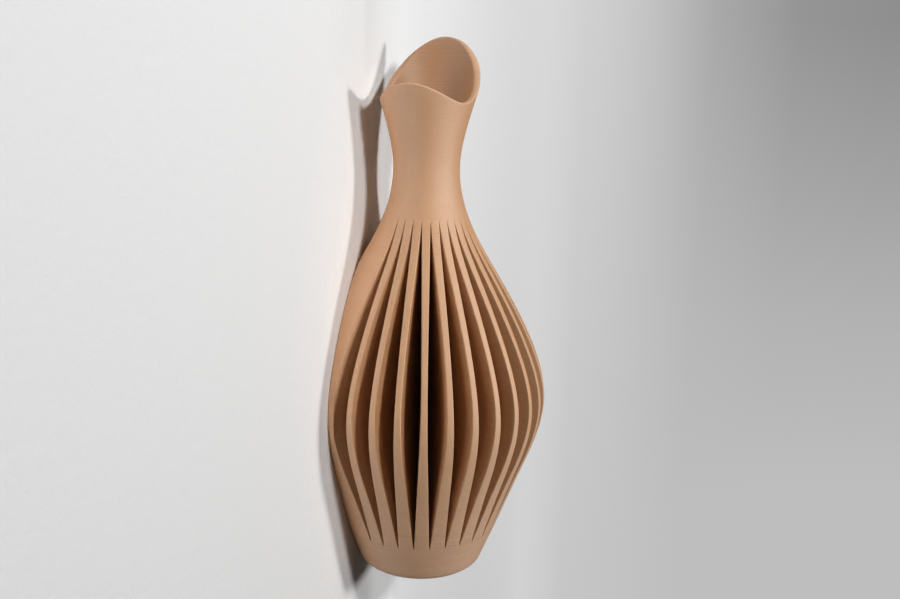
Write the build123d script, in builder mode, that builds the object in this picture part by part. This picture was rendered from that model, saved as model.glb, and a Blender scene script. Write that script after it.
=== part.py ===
from build123d import *
from math import cos, radians, sin, tan
import os

os.makedirs("parts", exist_ok=True)

# A hanging wall vase, in millimetres: a flared neck over a cage of upright ribs, with a flat back.
# The origin is the centre of the keyhole's round entry, on the plane of the wall.
# The front faces -Y, the wall lies at +Y and +Z is up. Heights are counted up from the foot.
# Angles are counted round the vase from the front, and grow towards +X.

# Outline of the body, from the lip down to the foot: each rise is counted from the ribs' top
lip_radius = 26.9
flare_radius = 22.4
flare_rise = 55.0
neck_radius = 15.3
neck_rise = 21.9
rib_top_radius = 19.6
rib_top_height = 169.0
throat_radius = 32.6
throat_height = 144.7
shoulder_radius = 50.4
shoulder_height = 112.4
belly_radius = 58.1
belly_height = 84.7
flank_radius = 48.0
flank_height = 47.7
rib_bottom_radius = 36.8
rib_bottom_height = 19.2
foot_radius = 29.0
foot_rounding = 3.8

# Lip: it rises on the right-hand side, and dips at the front and at the back
lip_mean_rise = 62.1
lip_tilt = 11.15
lip_tilt_angle = 91.0
lip_wave = 8.15
lip_wave_angle = -3.8
lip_rounding = 1.1
lip_stock = 1.7
lip_points = 36

# Walls
neck_wall = 3.0
tube_wall = 3.0
shell_wall = 3.0
base_floor = 4.0
panel_thickness = 3.0

# Ribs: half thicknesses of one rib at five heights, and the slots' pointed ends
ribs_per_turn = 32
rib_count = 20
rib_top_half = 1.86
rib_shoulder_half = 1.53
rib_shoulder_height = 130.0
rib_waist_half = 1.43
rib_waist_height = 90.0
rib_flank_half = 2.28
rib_flank_height = 57.0
rib_foot_half = 3.33
slot_tip_length = 2.4
rib_edge_chamfer = 0.4

# Wall side: where the vase's axis stands, and the keyhole in the back
axis_to_wall = 28.3
hanger_height = 122.0
keyhole_radius = 4.5
keyhole_slot_half = 2.25
keyhole_rise = 12.0

# Values worked out from the sizes above
neck_height = rib_top_height + neck_rise
flare_height = rib_top_height + flare_rise
lip_mean_height = rib_top_height + lip_mean_rise
stem_bore = neck_radius - neck_wall
tube_radius = stem_bore + tube_wall
rib_pitch = 360 / ribs_per_turn
edge_angle = (rib_count + 1) / 2 * rib_pitch
outline_top = lip_mean_height + lip_tilt + lip_wave + lip_stock
reach = 2 * belly_radius
vase_axis = Axis((0, -axis_to_wall, 0), (0, 0, 1))
vase_frame = Plane(origin=(0, -axis_to_wall, -hanger_height))
facing_plane = Plane(vase_frame.origin, x_dir=(1, 0, 0), z_dir=(0, -1, 0))
panel_front = Plane.XZ.offset(panel_thickness)

outline_points = [
    (lip_radius, outline_top),
    (flare_radius, flare_height),
    (neck_radius, neck_height),
    (rib_top_radius, rib_top_height),
    (throat_radius, throat_height),
    (shoulder_radius, shoulder_height),
    (belly_radius, belly_height),
    (flank_radius, flank_height),
    (rib_bottom_radius, rib_bottom_height),
    (foot_radius, 0),
]


def radial_plane(angle):
    """Plane through the vase's axis: its x is the radius at that angle, its y the height."""
    outward = (sin(radians(angle)), -cos(radians(angle)), 0)
    across = (-cos(radians(angle)), -sin(radians(angle)), 0)
    return Plane(origin=vase_frame.origin, x_dir=outward, z_dir=across)


def body_band(angle, low, high, inset=0.0):
    """Half section of the body between two heights, from the axis out to the outline."""
    with BuildSketch(radial_plane(angle)) as band:
        with BuildLine():
            outline = Spline(*[(radius - inset, height) for radius, height in outline_points])
            Polyline(outline @ 1, (0, 0), (0, outline_top), outline @ 0)
        make_face()
        foot_corner = band.vertices().group_by(Axis.Y)[0].sort_by(Axis.X)[-1]
        fillet(foot_corner, radius=foot_rounding)
        with Locations((0, low)):
            Rectangle(reach, high - low, align=(Align.MIN, Align.MIN), mode=Mode.INTERSECT)
    return band.sketch


def lip_height(angle):
    """Height of the lip at an angle round the mouth."""
    tilt = lip_tilt * cos(radians(angle - lip_tilt_angle))
    wave = lip_wave * cos(radians(2 * (angle - lip_wave_angle)))
    return lip_mean_height + tilt - wave


def lip_ring(radius):
    """Closed curve that follows the lip's rise and fall at one radius, in even steps of angle."""
    angles = [360 * index / lip_points for index in range(lip_points)]
    points = [(radius * sin(radians(a)), -radius * cos(radians(a)), lip_height(a)) for a in angles]
    steps = [index / lip_points for index in range(lip_points + 1)]
    ring = Edge.make_spline(points, periodic=True, parameters=steps)
    return ring.moved(vase_frame.location)


# Neck: hollow, with a straight bore below its waist, trimmed along the lip
lip_surface = Face.make_surface_from_curves(lip_ring(stem_bore / 2), lip_ring(2 * lip_radius))
with BuildPart() as neck:
    revolve(body_band(0, rib_top_height, outline_top), axis=vase_axis)
    with BuildSketch(radial_plane(0)):
        with BuildLine():
            hollow = Spline(
                (lip_radius - neck_wall, outline_top),
                (flare_radius - neck_wall, flare_height),
                (stem_bore, neck_height),
                tangents=[(flare_radius - lip_radius, flare_height - outline_top), (0, -1)],
            )
            Polyline(
                hollow @ 1,
                (stem_bore, rib_top_height),
                (0, rib_top_height),
                (0, outline_top),
                hollow @ 0,
            )
        make_face()
    revolve(axis=vase_axis, mode=Mode.SUBTRACT)
    extrude(lip_surface, amount=reach, dir=(0, 0, 1), mode=Mode.SUBTRACT)
    lip_face = neck.faces().sort_by(Axis.Z)[-1]
    fillet(lip_face.edges().sort_by(SortBy.LENGTH)[-2:], radius=lip_rounding)
neck.part.label = "neck"
export_step(neck.part, "parts/neck.step")

# Stem tube: stands in the base and carries the neck's bore down through the cage
with BuildPart() as stem_tube:
    with BuildSketch(vase_frame.offset(base_floor)):
        Circle(tube_radius)
        Circle(stem_bore, mode=Mode.SUBTRACT)
    extrude(amount=rib_top_height - base_floor)
stem_tube.part.label = "stem_tube"
export_step(stem_tube.part, "parts/stem_tube.step")

# Base cup: closed foot with a socket for the stem tube
with BuildPart() as base_cup:
    revolve(body_band(0, 0, rib_bottom_height), axis=vase_axis)
    with BuildSketch(vase_frame.offset(base_floor)):
        Circle(tube_radius)
    extrude(amount=rib_bottom_height - base_floor, mode=Mode.SUBTRACT)
    split(bisect_by=panel_front, keep=Keep.TOP)
base_cup.part.label = "base_cup"
export_step(base_cup.part, "parts/base_cup.step")

# Rib: a radial plate between the stem tube and the outline, thinnest at its waist
with BuildPart() as rib:
    revolve(
        body_band(-rib_pitch / 2, rib_bottom_height, rib_top_height),
        axis=vase_axis,
        revolution_arc=rib_pitch,
    )
    with BuildSketch(facing_plane):
        with BuildLine():
            side = Spline(
                (rib_foot_half, rib_bottom_height + slot_tip_length),
                (rib_flank_half, rib_flank_height),
                (rib_waist_half, rib_waist_height),
                (rib_shoulder_half, rib_shoulder_height),
                (rib_top_half, rib_top_height - slot_tip_length),
            )
            Polyline(
                side @ 0,
                (rib_bottom_radius * tan(radians(rib_pitch / 2)), rib_bottom_height),
                (0, rib_bottom_height),
                (0, rib_top_height),
                (rib_top_radius * tan(radians(rib_pitch / 2)), rib_top_height),
                side @ 1,
            )
        make_face()
        mirror(about=Plane.YZ)
    extrude(amount=reach, mode=Mode.INTERSECT)
    with BuildSketch(vase_frame):
        Circle(tube_radius)
    extrude(amount=rib_top_height, mode=Mode.SUBTRACT)
    outer_face = rib.faces().sort_by(Axis.Y)[0]
    chamfer(outer_face.edges().sort_by(SortBy.LENGTH)[-2:], length=rib_edge_chamfer)

for index in range(rib_count):
    name = f"rib_{index + 1:02d}"
    with BuildPart() as placed_rib:
        add(rib.part.rotate(vase_axis, (index - (rib_count - 1) / 2) * rib_pitch))
    placed_rib.part.label = name
    export_step(placed_rib.part, f"parts/{name}.step")

# Rear shell: the plain wall behind the last slot on each side, with a rib along each of its edges
with BuildPart() as rear_shell:
    revolve(
        body_band(edge_angle, rib_bottom_height, rib_top_height),
        axis=vase_axis,
        revolution_arc=360 - 2 * edge_angle,
    )
    revolve(
        body_band(edge_angle, rib_bottom_height, rib_top_height, inset=shell_wall),
        axis=vase_axis,
        revolution_arc=360 - 2 * edge_angle,
        mode=Mode.SUBTRACT,
    )
    add(rib.part.rotate(vase_axis, edge_angle))
    add(rib.part.rotate(vase_axis, -edge_angle))
    split(bisect_by=panel_front, keep=Keep.TOP)
rear_shell.part.label = "rear_shell"
export_step(rear_shell.part, "parts/rear_shell.step")

# Back panel: the flat face on the wall, pierced by the keyhole that hangs on a screw
with BuildPart() as back_panel:
    revolve(body_band(0, 0, rib_top_height), axis=vase_axis)
    split(bisect_by=Plane.XZ, keep=Keep.TOP)
    split(bisect_by=panel_front, keep=Keep.BOTTOM)
    with BuildSketch(Plane.XZ):
        Circle(keyhole_radius)
        with Locations((0, keyhole_rise / 2)):
            Rectangle(2 * keyhole_slot_half, keyhole_rise)
        with Locations((0, keyhole_rise)):
            Circle(keyhole_slot_half)
    extrude(amount=panel_thickness, mode=Mode.SUBTRACT)
back_panel.part.label = "back_panel"
export_step(back_panel.part, "parts/back_panel.step")
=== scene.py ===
from math import cos, pi, radians, sin, sqrt, tan

import bmesh
import bpy
import numpy as np
from mathutils import Matrix, Vector


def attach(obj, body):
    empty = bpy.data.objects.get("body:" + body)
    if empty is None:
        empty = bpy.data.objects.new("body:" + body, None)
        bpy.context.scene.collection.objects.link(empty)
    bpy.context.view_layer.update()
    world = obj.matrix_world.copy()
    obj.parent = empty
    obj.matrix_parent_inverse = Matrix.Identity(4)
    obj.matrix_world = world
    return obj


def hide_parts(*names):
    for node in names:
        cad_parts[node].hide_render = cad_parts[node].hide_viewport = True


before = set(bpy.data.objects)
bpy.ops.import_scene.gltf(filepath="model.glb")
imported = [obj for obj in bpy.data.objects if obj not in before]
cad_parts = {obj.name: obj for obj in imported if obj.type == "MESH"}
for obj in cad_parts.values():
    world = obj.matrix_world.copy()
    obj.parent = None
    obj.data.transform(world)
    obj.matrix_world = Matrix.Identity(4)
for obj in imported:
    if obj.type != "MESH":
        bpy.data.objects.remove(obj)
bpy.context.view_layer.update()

# A hanging wall vase: a flared neck over a cage of upright ribs, with a flat back.
# Sizes are in millimetres, as in the part, and MM turns them into metres. Heights are counted up from
# the foot, and angles round the vase from its front, growing towards +X.
MM = 0.001
AXIS_TO_WALL = 28.3
HANGER_HEIGHT = 122.0

# Outline of the body, from the lip down to the foot
OUTLINE_TOP = 252.1
LIP_RADIUS = 26.9
FLARE_RADIUS = 22.4
FLARE_HEIGHT = 224.0
NECK_RADIUS = 15.3
NECK_HEIGHT = 190.9
RIB_TOP_RADIUS = 19.6
RIB_TOP = 169.0
THROAT_RADIUS = 32.6
THROAT_HEIGHT = 144.7
SHOULDER_RADIUS = 50.4
SHOULDER_HEIGHT = 112.4
BELLY_RADIUS = 58.1
BELLY_HEIGHT = 84.7
FLANK_RADIUS = 48.0
FLANK_HEIGHT = 47.7
RIB_BOTTOM_RADIUS = 36.8
RIB_BOTTOM = 19.2
FOOT_RADIUS = 29.0
FOOT_ROUNDING = 3.8
OUTLINE_POINTS = [
    (LIP_RADIUS, OUTLINE_TOP),
    (FLARE_RADIUS, FLARE_HEIGHT),
    (NECK_RADIUS, NECK_HEIGHT),
    (RIB_TOP_RADIUS, RIB_TOP),
    (THROAT_RADIUS, THROAT_HEIGHT),
    (SHOULDER_RADIUS, SHOULDER_HEIGHT),
    (BELLY_RADIUS, BELLY_HEIGHT),
    (FLANK_RADIUS, FLANK_HEIGHT),
    (RIB_BOTTOM_RADIUS, RIB_BOTTOM),
    (FOOT_RADIUS, 0.0),
]

# Lip: it rises on the right-hand side, and dips at the front and at the back
LIP_MEAN = 231.098
LIP_TILT = 11.15
LIP_TILT_ANGLE = 91.0
LIP_WAVE = 8.15
LIP_WAVE_ANGLE = -3.8
LIP_ROUNDING = 1.1

# Walls
PRINT_WALL = 3.0
STEM_BORE = NECK_RADIUS - PRINT_WALL
TUBE_RADIUS = NECK_RADIUS
BASE_FLOOR = 4.0
PANEL = 3.0

# Neck's hollow: its curve and the slopes at both ends of it
HOLLOW_POINTS = [
    (LIP_RADIUS - PRINT_WALL, OUTLINE_TOP),
    (FLARE_RADIUS - PRINT_WALL, FLARE_HEIGHT),
    (STEM_BORE, NECK_HEIGHT),
]
HOLLOW_SLOPES = np.array([(-0.1554833, -0.9709068), (0.0, -1.2102776)])

# Ribs: half thicknesses of one rib by height, the slots' pointed ends and the rounding of the edges,
# which is full where the slot beside the rib is at least as wide as the gap
RIB_COUNT = 20
RIBS_PER_TURN = 32
RIB_PITCH = 360 / RIBS_PER_TURN
HALF_PITCH = radians(RIB_PITCH / 2)
EDGE_ANGLE = (RIB_COUNT + 1) / 2 * RIB_PITCH
SLOT_TIP = 2.4
RIB_SIDE_POINTS = [
    (3.33, RIB_BOTTOM + SLOT_TIP),
    (2.28, 57.0),
    (1.43, 90.0),
    (1.53, 130.0),
    (1.86, RIB_TOP - SLOT_TIP),
]
RIB_EDGE_ROUNDING = 0.5
ROUNDING_FULL_GAP = 1.3

# Keyhole in the back, with a softened rim
KEYHOLE_RADIUS = 4.5
KEYHOLE_SLOT = 2.25
KEYHOLE_RISE = 12.0
KEYHOLE_ROUNDING = 0.4
KEYHOLE_BEND = 0.3

# Steps of the meshes, and the ring on the flat underside as a share of its radius
CURVE_SAMPLES = 6001
NECK_TURN = 288
NECK_OUTER_ROWS = 90
NECK_INNER_ROWS = 64
LIP_ROWS = 9
RIB_TIP_ROWS = 7
RIB_MAIN_ROWS = 130
EDGE_STEPS = 6
SIDE_STEPS = 4
FACE_STEPS = 5
SHELL_STEPS = 96
TURN = 240
BASE_ROWS = 14
ROUND_ROWS = 10
UNDERSIDE_RING = 0.5
BACK_ROWS = 200
KEYHOLE_STEPS = 40

# Limits of the mesh work in metres, the angle from which an edge is sharp, and two directions
CUT_DISTANCE = 1e-8
MERGE_DISTANCE = 2e-6
SLIVER_LENGTH = 1e-7
SHARP_ANGLE = 35
FORWARD = (0, -1, 0)
BACKWARD = (0, 1, 0)


# Curves of the body
def end_slope(places, points):
    """Slope at the first of four points, from the cubic through all four."""
    powers = np.vander(places - places[0], 4, increasing=True)
    return np.linalg.solve(powers, points)[1]


def smooth_curve(points, samples, slopes=None):
    """Evenly spread points of the cubic curve through the given ones, with given end slopes or its own."""
    points = np.array(points, float)
    places = np.concatenate([[0.0], np.cumsum(np.hypot(*np.diff(points, axis=0).T))])
    steps = np.diff(places)
    count = len(points)
    if slopes is None:
        slopes = [end_slope(places[:4], points[:4]), end_slope(places[::-1][:4], points[::-1][:4])]
    matrix = np.eye(count)
    right = np.zeros((count, 2))
    right[0], right[-1] = slopes
    for i in range(1, count - 1):
        before = 1 / steps[i - 1]
        after = 1 / steps[i]
        matrix[i, i - 1:i + 2] = before, 2 * (before + after), after
        right[i] = 3 * ((points[i + 1] - points[i]) * after ** 2 + (points[i] - points[i - 1]) * before ** 2)
    slope = np.linalg.solve(matrix, right)
    wanted = np.linspace(0, places[-1], samples)
    span = np.clip(np.searchsorted(places, wanted, side="right") - 1, 0, count - 2)
    length = steps[span][:, None]
    share = ((wanted - places[span]) / steps[span])[:, None]
    start = (2 * share ** 3 - 3 * share ** 2 + 1) * points[span]
    leaving = (share ** 3 - 2 * share ** 2 + share) * length * slope[span]
    end = (3 * share ** 2 - 2 * share ** 3) * points[span + 1]
    arriving = (share ** 3 - share ** 2) * length * slope[span + 1]
    return start + leaving + end + arriving


outline = smooth_curve(OUTLINE_POINTS, CURVE_SAMPLES)[::-1]
rib_side = smooth_curve(RIB_SIDE_POINTS, CURVE_SAMPLES)
hollow = smooth_curve(HOLLOW_POINTS, CURVE_SAMPLES, HOLLOW_SLOPES)[::-1]


def body_radius(height):
    """Radius of the body's outline at a height."""
    return np.interp(height, outline[:, 1], outline[:, 0])


def hollow_radius(height):
    """Radius of the neck's hollow at a height."""
    return np.interp(height, hollow[:, 1], hollow[:, 0])


def outline_run(heights):
    """Points of the body's outline at the given heights, as radius and height pairs."""
    return np.stack([body_radius(heights), heights], -1)


def wall_width(heights):
    """Half width of the flat back at the given heights, where the body is cut off at the wall."""
    return np.sqrt(np.maximum(body_radius(heights) ** 2 - AXIS_TO_WALL ** 2, 0.0))


def rib_half(height):
    """Half thickness of a rib at a height: it widens until the slots close at both ends."""
    closed_low = RIB_BOTTOM_RADIUS * tan(HALF_PITCH)
    closed_high = RIB_TOP_RADIUS * tan(HALF_PITCH)
    heights = np.concatenate([[RIB_BOTTOM], rib_side[:, 1], [RIB_TOP]])
    halves = np.concatenate([[closed_low], rib_side[:, 0], [closed_high]])
    return np.interp(height, heights, halves)


def lip_height(angle):
    """Height of the lip at an angle in radians."""
    tilt = LIP_TILT * np.cos(angle - radians(LIP_TILT_ANGLE))
    wave = LIP_WAVE * np.cos(2 * (angle - radians(LIP_WAVE_ANGLE)))
    return LIP_MEAN + tilt - wave


def lip_slope(angle):
    """Rise of the lip for a radian of turn."""
    tilt = -LIP_TILT * np.sin(angle - radians(LIP_TILT_ANGLE))
    wave = -2 * LIP_WAVE * np.sin(2 * (angle - radians(LIP_WAVE_ANGLE)))
    return tilt - wave


def level_at(height):
    """Place along Z, in metres, of a height above the foot."""
    return (height - HANGER_HEIGHT) * MM


def place(radius, angle, height):
    """Points in the part's frame, in metres, from radius, angle and height round the vase's axis."""
    radius, angle, height = np.broadcast_arrays(radius, angle, height)
    across = radius * np.sin(angle)
    toward_wall = -AXIS_TO_WALL - radius * np.cos(angle)
    return np.stack([across, toward_wall, height - HANGER_HEIGHT], -1) * MM


def even_angles(steps):
    """Angles of one turn in even steps, in radians."""
    return np.linspace(0, 2 * pi, steps, endpoint=False)


def corner(start, bend, end, count):
    """Points of a soft corner from start to end, drawn towards the bend."""
    share = np.linspace(0, 1, count)[:, None]
    start = np.array(start, float)
    bend = np.array(bend, float)
    end = np.array(end, float)
    return (1 - share) ** 2 * start + 2 * share * (1 - share) * bend + share ** 2 * end


# Meshes
def join_loops(shape, low, high):
    """Band of faces between two closed loops with the same number of points."""
    count = len(low)
    for i in range(count):
        following = (i + 1) % count
        shape.faces.new((low[i], low[following], high[following], high[i]))


def grid_mesh(points, wrap_rows):
    """Mesh from rows of points. Each row is closed, and the rows join round when wrap_rows is set."""
    count = len(points)
    shape = bmesh.new()
    rows = [[shape.verts.new(point) for point in row] for row in points]
    for i in range(count if wrap_rows else count - 1):
        join_loops(shape, rows[i], rows[(i + 1) % count])
    if not wrap_rows:
        caps = [shape.faces.new(rows[0][::-1]), shape.faces.new(rows[-1])]
        bmesh.ops.triangulate(shape, faces=caps)
    return shape


def ring_mesh(sections):
    """Mesh from closed sections, as radius and height pairs, at even angles round the axis."""
    angles = even_angles(len(sections))
    rows = [place(section[:, 0], angle, section[:, 1]) for section, angle in zip(sections, angles)]
    return grid_mesh(np.array(rows), wrap_rows=True)


def lathe_mesh(profile, steps):
    """Mesh turned from a profile that starts and ends on the axis."""
    angles = even_angles(steps)
    shape = bmesh.new()
    first = shape.verts.new(place(0.0, 0.0, profile[0, 1]))
    last = shape.verts.new(place(0.0, 0.0, profile[-1, 1]))
    rings = []
    for radius, height in profile[1:-1]:
        rings.append([shape.verts.new(point) for point in place(radius, angles, height)])
    for i in range(steps):
        following = (i + 1) % steps
        shape.faces.new((first, rings[0][following], rings[0][i]))
        shape.faces.new((last, rings[-1][i], rings[-1][following]))
        for low, high in zip(rings, rings[1:]):
            shape.faces.new((low[i], low[following], high[following], high[i]))
    return shape


def loop_edges(shape, loop):
    """Edges between the neighbours of a closed loop of points."""
    return [shape.edges.get((loop[i], loop[i - 1])) for i in range(len(loop))]


def cut_away(shape, depth, drop_side, hole_points=(), hole=()):
    """Cuts a mesh along an upright plane, drops one side of it and closes the cut round a hole."""
    apart = set(hole_points)
    points = [point for point in shape.verts if point not in apart]
    edges = [edge for edge in shape.edges if not apart.intersection(edge.verts)]
    faces = [face for face in shape.faces if not apart.intersection(face.verts)]
    cut = bmesh.ops.bisect_plane(
        shape, geom=points + edges + faces, dist=CUT_DISTANCE,
        plane_co=(0, depth * MM, 0), plane_no=drop_side, clear_outer=True)
    rim = [part for part in cut["geom_cut"] if isinstance(part, bmesh.types.BMEdge) and part.is_boundary]
    bmesh.ops.triangle_fill(shape, use_beauty=True, edges=rim + list(hole))


def link_object(name, shape, material):
    """New object in the scene from a mesh and its material."""
    mesh = bpy.data.meshes.new(name)
    shape.to_mesh(mesh)
    shape.free()
    mesh.shade_smooth()
    mesh.materials.append(material)
    made = bpy.data.objects.new(name, mesh)
    bpy.context.scene.collection.objects.link(made)
    return made


def finish_piece(name, shape, nodes):
    """Turns a mesh into a finished piece of the print that stands for the named nodes."""
    bmesh.ops.remove_doubles(shape, verts=shape.verts[:], dist=MERGE_DISTANCE)
    bmesh.ops.dissolve_degenerate(shape, edges=shape.edges[:], dist=SLIVER_LENGTH)
    bmesh.ops.recalc_face_normals(shape, faces=shape.faces[:])
    piece = link_object(name, shape, printed)
    piece.data.set_sharp_from_angle(angle=radians(SHARP_ANGLE))
    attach(piece, "root")
    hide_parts(*nodes)


# Shader nodes
def new_material(name):
    """Material with an empty node tree, and that tree."""
    material = bpy.data.materials.new(name)
    material.use_nodes = True
    material.node_tree.nodes.clear()
    return material, material.node_tree


def add_node(tree, kind, inputs=None, **settings):
    """Adds a shader node with its settings, and its inputs as values or as links from other sockets."""
    node = tree.nodes.new(kind)
    for key, value in settings.items():
        setattr(node, key, value)
    for key, value in (inputs or {}).items():
        if isinstance(value, bpy.types.NodeSocket):
            tree.links.new(value, node.inputs[key])
        else:
            node.inputs[key].default_value = value
    return node


def ramp(tree, factor, stops):
    """Colour ramp from a list of places and colours."""
    node = add_node(tree, "ShaderNodeValToRGB", {"Fac": factor})
    elements = node.color_ramp.elements
    while len(elements) < len(stops):
        elements.new(0.5)
    for element, (at, colour) in zip(elements, stops):
        element.position = at
        element.color = (*colour, 1)
    return node.outputs["Color"]


def spread(tree, value, low, high, first=0.0, last=1.0):
    """Runs from first to last while a value goes between two limits, and holds outside them."""
    return add_node(tree, "ShaderNodeMapRange", {
        "Value": value, "From Min": low, "From Max": high, "To Min": first, "To Max": last}).outputs["Result"]


def grey_ramp(tree, value, low, high, stops):
    """Grey that follows a value between two limits, from a list of values and shades."""
    places = [((at - low) / (high - low), (shade, shade, shade)) for at, shade in stops]
    return ramp(tree, spread(tree, value, low, high), places)


def maths(tree, operation, *values):
    """Result of one operation on values or sockets."""
    return add_node(tree, "ShaderNodeMath", dict(enumerate(values)), operation=operation).outputs[0]


def noise(tree, spot, look):
    """Cloudy pattern in space."""
    return add_node(tree, "ShaderNodeTexNoise", {"Vector": spot, **look}).outputs["Fac"]


def tint(tree, colour, tone, share=1.0):
    """Colour multiplied by a tone, by a share from 0 to 1."""
    return add_node(tree, "ShaderNodeMix", {
        "Factor": share, "A": colour, "B": tone}, data_type="RGBA", blend_type="MULTIPLY").outputs["Result"]


def relief(tree, height, strength, distance, **under):
    """Surface direction bent by a height pattern, over an earlier direction if one is given as Normal."""
    return add_node(tree, "ShaderNodeBump", {
        "Height": height, "Strength": strength, "Distance": distance, **under}).outputs["Normal"]


def diffuse(tree, colour, **bent):
    """Matt surface, with its direction bent if one is given as Normal."""
    return add_node(tree, "ShaderNodeBsdfDiffuse", {"Color": colour, **bent}).outputs["BSDF"]


def blend(tree, factor, first, second):
    """Goes from the first shader to the second with a factor from 0 to 1."""
    return add_node(tree, "ShaderNodeMixShader", {0: factor, 1: first, 2: second}).outputs["Shader"]


# Print: patterns by their scale in space. The streaks are long round the vase and fine upward.
STREAK_STRETCH = (7, 7, 1700)
STREAKS = {"Scale": 1.0, "Detail": 2.0, "Roughness": 0.6}
CLOUD = {"Scale": 38.0, "Detail": 3.0, "Roughness": 0.55}
GRAIN = {"Scale": 1800.0, "Detail": 2.0, "Roughness": 0.6}
PATTERN_MIDDLE = 0.5

# Print: how much each pattern counts. The streaks are strongest near the foot and on the ribs' sides.
STREAK_HEIGHTS = (15, 60)
STREAK_BY_HEIGHT = (2.6, 0.9)
STREAK_DEPTHS = (0.5, 2.0)
STREAK_BY_DEPTH = (1.0, 3.6)
CLOUD_SHARE = 0.75
GRAIN_SHARE = 1.5
PATTERN_SHARE = 0.5

# Print: the thin darker ring where the ribs meet the foot, by distance from it
RING_DISTANCES = (0.1, 0.5)
RING_SHADE = -0.30

# Print: the sand colour from its darkest to its lightest, and a warmer tone on the ribs, by height
SAND = [
    (0.36, (0.500, 0.260, 0.120)),
    (0.56, (0.532, 0.280, 0.131)),
    (0.76, (0.564, 0.301, 0.143)),
]
PLAIN = (1, 1, 1)
WARM = (1.0, 0.985, 0.93)
WARM_TOP = 200
WARMTH = [(0.22, PLAIN), (0.40, WARM), (0.78, WARM), (0.93, PLAIN)]

# Print: painted shade on the lowest edge of the foot, by height
FOOT_PAINTED_SHADE_TOP = 5
FOOT_PAINTED_SHADE = [(0.5, 0.62), (3.6, 1.0)]

# Print: painted shade deep below the outline, by depth, on the slots' sides and inside the mouth. It starts
# deeper in the cage than in the neck.
OUTLINE_STOPS = 30
NECK_BLEND = (RIB_TOP + 5, RIB_TOP + 25)
PAINTED_SHADE_START = (5.0 * MM, 1.0 * MM)
PAINTED_SHADE_FULL = (8.0 * MM, 4.6 * MM)
DEEP_PAINTED_SHADE = (0.70, 0.60, 0.42)

# Print: relief of the level lines, the streaks and the grain, and the gloss
LINE_PITCH = 0.25
LINE_STRENGTH = 0.10
LINE_DEPTH = 0.04
STREAK_RELIEF_TOP = 60
STREAK_STRENGTH = (1.0, 0.17)
STREAK_DEPTH = 0.7
GRAIN_STRENGTH = 0.2
GRAIN_DEPTH = 0.03
STREAK_RANGE = (0.3, 0.7)
ROUGHNESS = (0.64, 0.74)
GLOSS = {"IOR": 2.2, "Specular IOR Level": 0.5, "Anisotropic": 0.5, "Anisotropic Rotation": 0.25}


def depth_below_outline(tree, spot, level):
    """How far a point lies inside the body's outline, in metres."""
    from_axis = add_node(tree, "ShaderNodeMapping", {
        "Vector": spot, "Location": (0, AXIS_TO_WALL * MM, 0), "Scale": (1, 1, 0)}).outputs["Vector"]
    radius = add_node(tree, "ShaderNodeVectorMath", {0: from_axis}, operation="LENGTH").outputs["Value"]
    heights = np.linspace(0, OUTLINE_TOP, OUTLINE_STOPS)
    stops = [(level_at(height), body_radius(height) * MM) for height in heights]
    outer = grey_ramp(tree, level, level_at(0), level_at(OUTLINE_TOP), stops)
    return maths(tree, "SUBTRACT", outer, radius)


def print_colour(tree, spot, level, streaks, grain):
    """Sand colour with level streaks, clouding and grain, and painted shade deep in the slots, inside the
    mouth and on the foot's lowest edge.
    """
    sunk = depth_below_outline(tree, spot, level)
    from_ring = maths(tree, "ABSOLUTE", maths(tree, "SUBTRACT", level, level_at(RIB_BOTTOM)))
    near, far = RING_DISTANCES
    ring = spread(tree, from_ring, near * MM, far * MM, RING_SHADE, 0.0)
    low, high = STREAK_HEIGHTS
    by_height = spread(tree, level, level_at(low), level_at(high), *STREAK_BY_HEIGHT)
    shallow, deep = STREAK_DEPTHS
    by_depth = spread(tree, sunk, shallow * MM, deep * MM, *STREAK_BY_DEPTH)
    swing = maths(tree, "SUBTRACT", streaks, PATTERN_MIDDLE)
    streaked = maths(tree, "MULTIPLY_ADD", maths(tree, "MULTIPLY", swing, by_depth), by_height, ring)
    clouded = maths(tree, "MULTIPLY_ADD", noise(tree, spot, CLOUD), CLOUD_SHARE, streaked)
    grained = maths(tree, "MULTIPLY_ADD", grain, GRAIN_SHARE, clouded)
    sand = ramp(tree, maths(tree, "MULTIPLY", grained, PATTERN_SHARE), SAND)

    warmth = ramp(tree, spread(tree, level, level_at(0), level_at(WARM_TOP)), WARMTH)
    cage_end, neck_start = (level_at(height) for height in NECK_BLEND)
    # Painted shade: the colour darkens with depth below the outline, starting shallower in the neck than in
    # the cage.
    painted_shade_start = spread(tree, level, cage_end, neck_start, *PAINTED_SHADE_START)
    painted_shade_full = spread(tree, level, cage_end, neck_start, *PAINTED_SHADE_FULL)
    painted_deep_shade = ramp(tree, spread(tree, sunk, painted_shade_start, painted_shade_full), [(0.0, PLAIN), (1.0, DEEP_PAINTED_SHADE)])
    # Painted shade: the lowest few millimetres of the foot are darkened in the colour.
    foot_shade_stops = [(level_at(height), shade) for height, shade in FOOT_PAINTED_SHADE]
    foot_painted_shade = grey_ramp(tree, level, level_at(0), level_at(FOOT_PAINTED_SHADE_TOP), foot_shade_stops)
    return tint(tree, tint(tree, tint(tree, sand, warmth), painted_deep_shade), foot_painted_shade)


def print_relief(tree, level, streaks, grain):
    """Surface direction with fine level lines, broader streaks and grain."""
    turns = maths(tree, "MULTIPLY", level, 2 * pi / (LINE_PITCH * MM))
    lines = maths(tree, "MULTIPLY_ADD", maths(tree, "SINE", turns), 0.5, 0.5)
    fine = relief(tree, lines, LINE_STRENGTH, LINE_DEPTH * MM)
    strength = spread(tree, level, level_at(0), level_at(STREAK_RELIEF_TOP), *STREAK_STRENGTH)
    broad = relief(tree, streaks, strength, STREAK_DEPTH * MM, Normal=fine)
    return relief(tree, grain, GRAIN_STRENGTH, GRAIN_DEPTH * MM, Normal=broad)


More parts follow.
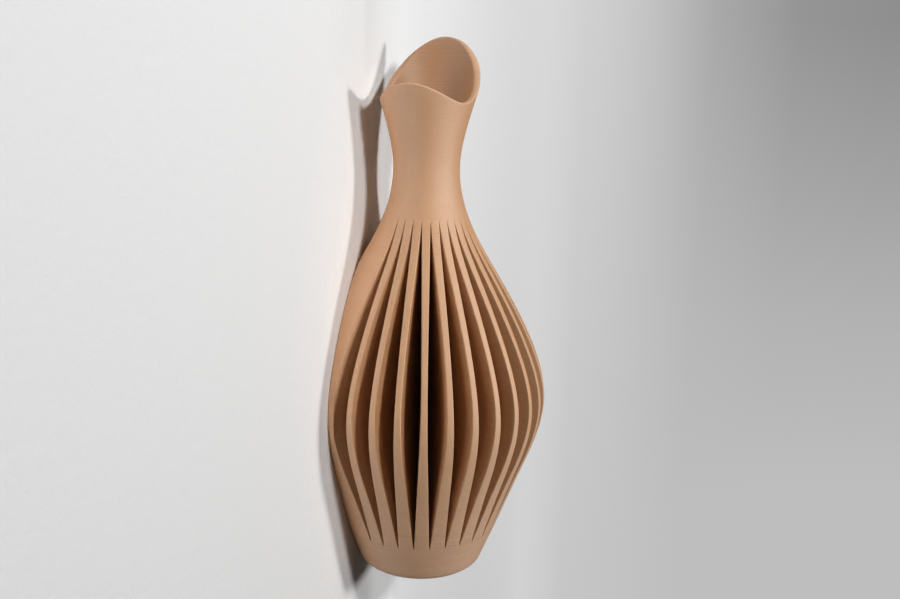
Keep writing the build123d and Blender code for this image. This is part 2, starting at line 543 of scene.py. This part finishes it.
def printed_material():
    """Matt sand-coloured plastic laid down in fine level lines, which stretch its sheen upward."""
    material, tree = new_material("printed_sand")
    spot = add_node(tree, "ShaderNodeTexCoord").outputs["Object"]
    level = add_node(tree, "ShaderNodeSeparateXYZ", {"Vector": spot}).outputs["Z"]
    stretched = add_node(tree, "ShaderNodeMapping", {"Vector": spot, "Scale": STREAK_STRETCH})
    streaks = noise(tree, stretched.outputs["Vector"], STREAKS)
    grain = noise(tree, spot, GRAIN)
    facing = add_node(tree, "ShaderNodeNewGeometry").outputs["Normal"]
    level_line = add_node(tree, "ShaderNodeVectorMath", {0: facing, 1: (0, 0, 1)}, operation="CROSS_PRODUCT")
    surface = add_node(tree, "ShaderNodeBsdfPrincipled", {
        "Base Color": print_colour(tree, spot, level, streaks, grain),
        "Roughness": spread(tree, streaks, *STREAK_RANGE, *ROUGHNESS),
        "Normal": print_relief(tree, level, streaks, grain),
        "Tangent": level_line.outputs["Vector"],
        **GLOSS,
    })
    add_node(tree, "ShaderNodeOutputMaterial", {"Surface": surface.outputs["BSDF"]})
    return material


printed = printed_material()


# Neck
def neck_section(angle):
    """Closed section of the neck at one angle, as radius and height pairs."""
    top = lip_height(angle)
    outer_edge = body_radius(top)
    inner_edge = hollow_radius(top)
    reach = LIP_ROUNDING * sqrt(1 + (lip_slope(angle) / outer_edge) ** 2)
    outer = outline_run(np.linspace(RIB_TOP, top - reach, NECK_OUTER_ROWS))
    inner_heights = np.linspace(top - reach, NECK_HEIGHT, NECK_INNER_ROWS)
    inner = np.stack([hollow_radius(inner_heights), inner_heights], -1)
    lip_out = corner(outer[-1], (outer_edge, top), (outer_edge - LIP_ROUNDING, top), LIP_ROWS)
    lip_in = corner((inner_edge + LIP_ROUNDING, top), (inner_edge, top), inner[0], LIP_ROWS)
    return np.concatenate([outer[:-1], lip_out, lip_in, inner[1:], [(STEM_BORE, RIB_TOP)]])


def build_neck():
    """Hollow neck, closed off along the lip."""
    return ring_mesh([neck_section(angle) for angle in even_angles(NECK_TURN)])


# Ribs
RIB_HEIGHTS = np.concatenate([
    np.linspace(RIB_BOTTOM, RIB_BOTTOM + SLOT_TIP, RIB_TIP_ROWS)[:-1],
    np.linspace(RIB_BOTTOM + SLOT_TIP, RIB_TOP - SLOT_TIP, RIB_MAIN_ROWS),
    np.linspace(RIB_TOP - SLOT_TIP, RIB_TOP, RIB_TIP_ROWS)[1:],
])


def rib_flank(height):
    """Side of a rib at one height from the tube out to its rounded edge, as across and outward pairs."""
    radius = body_radius(height)
    half = rib_half(height)
    across_in = min(half, TUBE_RADIUS * sin(HALF_PITCH))
    root_out = sqrt(TUBE_RADIUS ** 2 - across_in ** 2)
    across_out = min(half, radius * sin(HALF_PITCH))
    tip_out = sqrt(radius ** 2 - across_out ** 2)
    kink_out = min(max(half / tan(HALF_PITCH), root_out), tip_out)
    kink_across = across_in
    if kink_out > root_out:
        kink_across = min(half, kink_out * tan(HALF_PITCH))
    gap = 2 * (radius * sin(HALF_PITCH) - across_out)
    share = np.clip(gap / ROUNDING_FULL_GAP, 0, 1)
    rounding = RIB_EDGE_ROUNDING * share * share * (3 - 2 * share)
    turn = np.arcsin(across_out / radius) - rounding / radius
    side_end = (across_out, max(tip_out - rounding, kink_out))
    face_start = (radius * sin(turn), radius * cos(turn))
    side = np.linspace((kink_across, kink_out), side_end, SIDE_STEPS)
    edge = corner(side_end, (across_out, tip_out), face_start, EDGE_STEPS)
    return np.concatenate([[(across_in, root_out)], side[:-1], edge]), turn


def rib_section(height):
    """Closed section of a rib at one height, as across and outward pairs."""
    flank, turn = rib_flank(height)
    radius = body_radius(height)
    face = np.linspace(turn, -turn, FACE_STEPS)[1:-1]
    front = np.stack([radius * np.sin(face), radius * np.cos(face)], -1)
    mirrored = flank[::-1] * (-1, 1)
    back = [(0.0, TUBE_RADIUS)]
    return np.concatenate([flank, front, mirrored, back])


rib_sections = [rib_section(height) for height in RIB_HEIGHTS]


def spin(section, angle):
    """Radius and angle of a rib's section points, turned to an angle round the vase."""
    return np.hypot(section[:, 0], section[:, 1]), np.arctan2(section[:, 0], section[:, 1]) + angle


def build_rib(angle):
    """Rib at an angle round the vase, seated on the tube, the base and the neck."""
    rows = [place(*spin(section, angle), height) for section, height in zip(rib_sections, RIB_HEIGHTS)]
    return grid_mesh(np.array(rows), wrap_rows=False)


# Rear shell
def shell_section(height):
    """Closed section of the rear shell at one height: two edge ribs and the wall between them."""
    flank, turn = rib_flank(height)
    radius = body_radius(height)
    inner_radius = radius - PRINT_WALL
    near = radians(EDGE_ANGLE)
    far = 2 * pi - near
    slot_radius, slot_angle = spin(flank * (-1, 1), near)
    (root_radius, kink_radius), (root_turn, kink_turn) = spin(flank[:2], 0.0)
    kink_radius = min(kink_radius, inner_radius)
    meet = np.arcsin(min(rib_half(height), inner_radius * sin(HALF_PITCH)) / inner_radius)
    outer_angle = np.linspace(near - turn, far + turn, SHELL_STEPS)
    inner_angle = np.linspace(far - meet, near + meet, SHELL_STEPS)
    radii = np.concatenate([
        slot_radius,
        np.full(SHELL_STEPS - 2, radius),
        slot_radius[::-1],
        [TUBE_RADIUS, root_radius, kink_radius],
        np.full(SHELL_STEPS, inner_radius),
        [kink_radius, root_radius, TUBE_RADIUS],
    ])
    angles = np.concatenate([
        slot_angle,
        outer_angle[1:-1],
        2 * pi - slot_angle[::-1],
        [far, far - root_turn, far - kink_turn],
        inner_angle,
        [near + kink_turn, near + root_turn, near],
    ])
    return radii, angles


def build_shell():
    """Plain wall behind the last slot on each side, cut off where the back panel starts."""
    rows = [place(*shell_section(height), height) for height in RIB_HEIGHTS]
    shape = grid_mesh(np.array(rows), wrap_rows=False)
    cut_away(shape, -PANEL, BACKWARD)
    return shape


# Base, tube and back
def foot_profile():
    """Underside and rounded foot, from the axis up to where the outline takes over."""
    along = np.gradient(outline, axis=0)
    along /= np.linalg.norm(along, axis=1)[:, None]
    inward = np.stack([-along[:, 1], along[:, 0]], -1)
    centres = outline + FOOT_ROUNDING * inward
    low = outline[:, 1] < RIB_BOTTOM
    meet = np.argmin(np.abs(centres[low, 1] - FOOT_ROUNDING))
    centre = centres[meet]
    to_outline = outline[meet] - centre
    sweep = np.linspace(-pi / 2, np.arctan2(to_outline[1], to_outline[0]), ROUND_ROWS)
    arc = centre + FOOT_ROUNDING * np.stack([np.cos(sweep), np.sin(sweep)], -1)
    arc[0, 1] = 0.0
    return np.concatenate([[(0.0, 0.0)], [(centre[0] * UNDERSIDE_RING, 0.0)], arc])


foot_points = foot_profile()


def body_side(top, rows):
    """Outline from above the rounded foot up to a height."""
    return outline_run(np.linspace(foot_points[-1, 1], top, rows)[1:])


def build_base():
    """Closed foot with a socket for the tube, cut off where the back panel starts."""
    socket = [(TUBE_RADIUS, RIB_BOTTOM), (TUBE_RADIUS, BASE_FLOOR), (0.0, BASE_FLOOR)]
    shape = lathe_mesh(np.concatenate([foot_points, body_side(RIB_BOTTOM, BASE_ROWS), socket]), TURN)
    cut_away(shape, -PANEL, BACKWARD)
    return shape


def build_tube():
    """Tube from the base's socket up to the neck."""
    section = np.array([
        (TUBE_RADIUS, BASE_FLOOR),
        (TUBE_RADIUS, RIB_TOP),
        (STEM_BORE, RIB_TOP),
        (STEM_BORE, BASE_FLOOR),
    ])
    return ring_mesh([section] * TURN)


def keyhole_loop(grow):
    """Closed outline of the keyhole, as across and up pairs, grown by a margin."""
    entry = KEYHOLE_RADIUS + grow
    slot = KEYHOLE_SLOT + grow
    join = np.arcsin(slot / entry)
    low = np.linspace(pi / 2 - join, -3 * pi / 2 + join, KEYHOLE_STEPS)
    high = np.linspace(pi, 0, KEYHOLE_STEPS // 2)
    round_entry = np.stack([entry * np.cos(low), entry * np.sin(low)], -1)
    round_slot = np.stack([slot * np.cos(high), KEYHOLE_RISE + slot * np.sin(high)], -1)
    return np.concatenate([round_entry, round_slot])


def build_back():
    """Flat panel on the wall, a slice of the body, pierced by the keyhole with its softened rim."""
    profile = np.concatenate([foot_points, body_side(RIB_TOP, BACK_ROWS), [(0.0, RIB_TOP)]])
    shape = lathe_mesh(profile, 2 * TURN)
    bend = KEYHOLE_BEND * KEYHOLE_ROUNDING
    depths = [(-PANEL, 0.0), (-KEYHOLE_ROUNDING, 0.0), (-bend, bend), (0.0, KEYHOLE_ROUNDING)]
    loops = []
    for depth, grow in depths:
        loops.append([shape.verts.new((x * MM, depth * MM, z * MM)) for x, z in keyhole_loop(grow)])
    for low, high in zip(loops, loops[1:]):
        join_loops(shape, low, high)
    hole_points = [point for loop in loops for point in loop]
    back_rim = loop_edges(shape, loops[-1])
    front_rim = loop_edges(shape, loops[0])
    cut_away(shape, 0.0, BACKWARD, hole_points, back_rim)
    cut_away(shape, -PANEL, FORWARD, hole_points, front_rim)
    return shape


finish_piece("neck_print", build_neck(), ["neck"])
for index in range(RIB_COUNT):
    rib_angle = radians((index - (RIB_COUNT - 1) / 2) * RIB_PITCH)
    finish_piece(f"rib_print_{index + 1:02d}", build_rib(rib_angle), [f"rib_{index + 1:02d}"])
finish_piece("rear_shell_print", build_shell(), ["rear_shell"])
finish_piece("base_cup_print", build_base(), ["base_cup"])
finish_piece("stem_tube_print", build_tube(), ["stem_tube"])
finish_piece("back_panel_print", build_back(), ["back_panel"])

# Stage, in metres: a pale wall with a curved end, a pale floor, three soft lamps and a faint surround
WALL_Y = 0.0003
WALL_LOW = -1.2
WALL_HIGH = 1.6
WALL_LEFT = -0.32
WALL_BEND = 0.8
BEND_RADIUS = 0.7
BEND_STEPS = 40
SIDE_FRONT = -2.5
FLOOR_HALF = 4.0

# Opening in the wall behind the back panel, in millimetres: its ends, its margin and its least width
OPENING_LOW = 2.0
OPENING_HIGH = RIB_TOP - 12.0
OPENING_STEPS = 60
OPENING_INSET = 1.5
OPENING_LEAST = 1.0

# Wall as the camera sees it, with painted light and shade. Each ramp has two limits and a list of places with
# their shades.
# Both go along the wall: the seen shades paint the fall of light and a darker shadow by the vase, the lift
# paints light where only one lamp reaches, and the lift fades out at the lip's height.
PLASTER = {"Scale": 260.0, "Detail": 3.0, "Roughness": 0.6}
PLASTER_STRENGTH = 0.5
PLASTER_DEPTH = 0.5 * MM
WALL_PAINTED_SHADES = (-0.3, 0.5, [
    (-0.25, 0.71),
    (-0.05, 0.785),
    (-0.022, 0.765),
    (-0.008, 0.765),
    (0.0, 0.72),
    (0.022, 0.80),
    (0.05, 0.865),
    (0.09, 0.85),
    (0.32, 0.90),
])
WALL_PAINTED_LIFT = (-0.05, 0.10, [(-0.008, 1.0), (0.010, 1.32), (0.022, 1.33), (0.038, 1.25), (0.048, 1.0)])
PAINTED_LIFT_HEIGHTS = (0.116, 0.100)

# Far end of the wall, which glows with painted light: its shades by metres forward, high up and low down, and
# how it fades along
FAR_HIGH = (-0.6, 0.0, [(-0.46, 0.275), (-0.30, 0.30), (-0.157, 0.395), (0.0, 0.63)])
FAR_LOW = (-0.6, 0.0, [(-0.46, 0.515), (-0.157, 0.515), (0.0, 0.56)])
FAR_RISE = (-0.63, 0.25, [(-0.63, 0.0), (-0.28, 0.30), (0.25, 1.0)])
FAR_ALONG = (0.1, 0.9, [(0.35, 1.12), (0.50, 1.10), (0.67, 1.05), (0.80, 1.0)])
FAR_FADE = (0.12, 0.45)

# Light that the wall sends on, by metres from the body's edge and by height
EDGE_STOPS = 24
EDGE_LEVELS = (-0.13, 0.06)
WALL_LIT = (-0.1, 0.3, [(-0.02, 0.90), (0.0, 1.45), (0.05, 1.60), (0.10, 1.40), (0.20, 0.70)])
LIT_BY_HEIGHT = (-0.4, 0.1, [(-0.20, 0.50), (-0.05, 1.0), (0.02, 1.0), (0.06, 0.84)])
WALL_MIRRORED = (0.60, 0.60, 0.60, 1)

# Floor as the camera sees it, and the light that it sends on
FLOOR_CLOUD = {"Scale": 5.0, "Detail": 4.0}
FLOOR_SEEN = [(0.3, (0.60, 0.60, 0.60)), (0.7, (0.63, 0.63, 0.63))]
FLOOR_LIT = (0.12, 0.12, 0.12, 1)

# Surround: its colour and strength for matt and for glossy surfaces, and as the camera sees it
SURROUND = (0.96, 0.98, 1.0, 1)
SURROUND_MATT = 0.02
SURROUND_GLOSSY = 0.5
SURROUND_SEEN = (0.80, 0.81, 0.82, 1)


def wall_seen(tree, spot, along, forward, up):
    """Wall as the camera sees it: dented plaster near the vase with painted light and shade along it, fading
    into a far end that glows with painted light.
    """
    dents = relief(tree, noise(tree, spot, PLASTER), PLASTER_STRENGTH, PLASTER_DEPTH)
    # Painted light and shade along the wall, with painted light where only one lamp reaches.
    shade = tint(
        tree, grey_ramp(tree, along, *WALL_PAINTED_SHADES), grey_ramp(tree, along, *WALL_PAINTED_LIFT),
        spread(tree, up, *PAINTED_LIFT_HEIGHTS))
    near = diffuse(tree, shade, Normal=dents)
    # Far end: painted light that glows, mostly darker high up and lighter low down.
    far_painted_light = add_node(tree, "ShaderNodeMix", {
        "Factor": grey_ramp(tree, up, *FAR_RISE),
        "A": grey_ramp(tree, forward, *FAR_LOW),
        "B": grey_ramp(tree, forward, *FAR_HIGH),
    }, data_type="RGBA").outputs["Result"]
    fading = tint(tree, far_painted_light, grey_ramp(tree, along, *FAR_ALONG))
    far = add_node(tree, "ShaderNodeEmission", {"Color": fading}).outputs["Emission"]
    return blend(tree, spread(tree, along, *FAR_FADE), near, far)


def wall_sent(tree, along, up, glossy):
    """Wall as it sends light on to the vase: strongest beside the body, on its left."""
    heights = np.linspace(0, RIB_TOP, EDGE_STOPS)
    stops = [(level_at(height), width * MM) for height, width in zip(heights, wall_width(heights))]
    body_edge = grey_ramp(tree, up, *EDGE_LEVELS, stops)
    leftward = maths(tree, "MULTIPLY", along, -1.0)
    from_edge = maths(tree, "SUBTRACT", leftward, body_edge)
    strength = tint(tree, grey_ramp(tree, from_edge, *WALL_LIT), grey_ramp(tree, up, *LIT_BY_HEIGHT))
    return blend(tree, glossy, diffuse(tree, strength), diffuse(tree, WALL_MIRRORED))


def wall_material():
    """Pale wall with one look for the camera and one for the light it sends on, clear from behind."""
    material, tree = new_material("stage_wall_paint")
    spot = add_node(tree, "ShaderNodeTexCoord").outputs["Object"]
    place_on_wall = add_node(tree, "ShaderNodeSeparateXYZ", {"Vector": spot})
    along, forward, up = (place_on_wall.outputs[axis] for axis in "XYZ")
    path = add_node(tree, "ShaderNodeLightPath")
    seen = wall_seen(tree, spot, along, forward, up)
    sent = wall_sent(tree, along, up, path.outputs["Is Glossy Ray"])
    front = blend(tree, path.outputs["Is Camera Ray"], sent, seen)
    behind = add_node(tree, "ShaderNodeNewGeometry").outputs["Backfacing"]
    clear = add_node(tree, "ShaderNodeBsdfTransparent").outputs["BSDF"]
    add_node(tree, "ShaderNodeOutputMaterial", {"Surface": blend(tree, behind, front, clear)})
    return material


def floor_material():
    """Pale floor with slight clouding, which sends little light up."""
    material, tree = new_material("stage_floor_paint")
    spot = add_node(tree, "ShaderNodeTexCoord").outputs["Object"]
    path = add_node(tree, "ShaderNodeLightPath")
    shade = ramp(tree, noise(tree, spot, FLOOR_CLOUD), FLOOR_SEEN)
    seen = add_node(tree, "ShaderNodeEmission", {"Color": shade}).outputs["Emission"]
    surface = blend(tree, path.outputs["Is Camera Ray"], diffuse(tree, FLOOR_LIT), seen)
    add_node(tree, "ShaderNodeOutputMaterial", {"Surface": surface})
    return material


def stage_object(name, shape, material):
    """Object of the stage, which is no part of the vase."""
    stage = link_object(name, shape, material)
    return stage


def build_wall():
    """Wall behind the vase, open where the back panel covers it, turning forward at its far end."""
    shape = bmesh.new()
    heights = np.linspace(OPENING_LOW, OPENING_HIGH, OPENING_STEPS)
    widths = wall_width(heights) - OPENING_INSET
    wide = widths > OPENING_LEAST
    right_side = [(x * MM, WALL_Y, level_at(height)) for x, height in zip(widths[wide], heights[wide])]
    left_side = [(-x, y, z) for x, y, z in reversed(right_side)]
    opening = [shape.verts.new(point) for point in right_side + left_side]
    corner_places = [
        (WALL_LEFT, WALL_LOW),
        (WALL_BEND, WALL_LOW),
        (WALL_BEND, WALL_HIGH),
        (WALL_LEFT, WALL_HIGH),
    ]
    corners = [shape.verts.new((x, WALL_Y, z)) for x, z in corner_places]
    edges = [shape.edges.new((loop[i - 1], loop[i])) for loop in (opening, corners) for i in range(len(loop))]
    bmesh.ops.triangle_fill(shape, use_beauty=True, edges=edges)
    bend = np.linspace(0, pi / 2, BEND_STEPS)[1:]
    path = [(WALL_BEND + BEND_RADIUS * sin(a), WALL_Y - BEND_RADIUS * (1 - cos(a))) for a in bend]
    path.append((path[-1][0], SIDE_FRONT))
    low = [corners[1]] + [shape.verts.new((x, y, WALL_LOW)) for x, y in path]
    high = [corners[2]] + [shape.verts.new((x, y, WALL_HIGH)) for x, y in path]
    for i in range(len(path)):
        shape.faces.new((low[i], low[i + 1], high[i + 1], high[i]))
    bmesh.ops.recalc_face_normals(shape, faces=shape.faces[:])
    toward_wall = sum(face.normal.y * face.calc_area() for face in shape.faces)
    if toward_wall > 0:
        bmesh.ops.reverse_faces(shape, faces=shape.faces[:])
    return shape


def build_floor():
    """Level floor under the vase."""
    shape = bmesh.new()
    signs = ((-1, -1), (1, -1), (1, 1), (-1, 1))
    shape.faces.new([shape.verts.new((x * FLOOR_HALF, y * FLOOR_HALF, WALL_LOW)) for x, y in signs])
    return shape


def add_lamp(name, azimuth, elevation, distance, size, power):
    """Soft square lamp that looks at the vase from an angle round it and a height above level."""
    data = bpy.data.lights.new(name, "AREA")
    data.shape = "SQUARE"
    data.size = size
    data.energy = power
    lamp = bpy.data.objects.new(name, data)
    turn = radians(azimuth)
    rise = radians(elevation)
    outward = Vector((sin(turn) * cos(rise), -cos(turn) * cos(rise), sin(rise)))
    lamp.location = Vector((0.0, -AXIS_TO_WALL * MM, 0.0)) + outward * distance
    lamp.rotation_euler = outward.to_track_quat("Z", "Y").to_euler()
    lamp.visible_camera = False
    bpy.context.scene.collection.objects.link(lamp)


def background(tree, colour, strength):
    """Light of the surround."""
    return add_node(tree, "ShaderNodeBackground", {"Color": colour, "Strength": strength}).outputs[0]


def add_surround():
    """Faint surround for the light on the vase, and a pale one for the camera."""
    world = bpy.data.worlds.new("surround")
    bpy.context.scene.world = world
    world.use_nodes = True
    tree = world.node_tree
    tree.nodes.clear()
    path = add_node(tree, "ShaderNodeLightPath")
    matt = background(tree, SURROUND, SURROUND_MATT)
    glossy = background(tree, SURROUND, SURROUND_GLOSSY)
    seen = background(tree, SURROUND_SEEN, 1.0)
    sent = blend(tree, path.outputs["Is Glossy Ray"], matt, glossy)
    around = blend(tree, path.outputs["Is Camera Ray"], sent, seen)
    add_node(tree, "ShaderNodeOutputWorld", {"Surface": around})


stage_object("stage_wall", build_wall(), wall_material())
floor = stage_object("stage_floor", build_floor(), floor_material())
floor.visible_glossy = False
add_lamp("lamp_right", azimuth=4.4, elevation=11.2, distance=1.53, size=0.20, power=10.9)
add_lamp("lamp_left", azimuth=-28.6, elevation=30.4, distance=0.98, size=0.17, power=5.8)
add_lamp("lamp_rear", azimuth=180, elevation=20, distance=1.4, size=1.0, power=16)
add_surround()

# Camera: its place, its directions and its lens
CAMERA_AT = Vector((-0.412079, -0.148955, 0.098754))
CAMERA_RIGHT = Vector((0.25829572, -0.9658451, 0.02065316))
CAMERA_UP = Vector((0.1961725, 0.0733716, 0.97782051))
CAMERA_BACK = Vector((-0.94593851, -0.24851528, 0.20842382))
CAMERA_LENS = 37.2
CAMERA_SENSOR = 36.0
CAMERA_NEAREST = 0.01
camera_data = bpy.data.cameras.new("camera")
camera_data.lens = CAMERA_LENS
camera_data.sensor_width = CAMERA_SENSOR
camera_data.sensor_fit = "HORIZONTAL"
camera_data.clip_start = CAMERA_NEAREST
camera = bpy.data.objects.new("camera", camera_data)
turned = Matrix((CAMERA_RIGHT, CAMERA_UP, CAMERA_BACK)).transposed().to_4x4()
camera.matrix_world = Matrix.Translation(CAMERA_AT) @ turned
bpy.context.scene.collection.objects.link(camera)
bpy.context.scene.camera = camera
bpy.context.scene.view_settings.view_transform = "Standard"
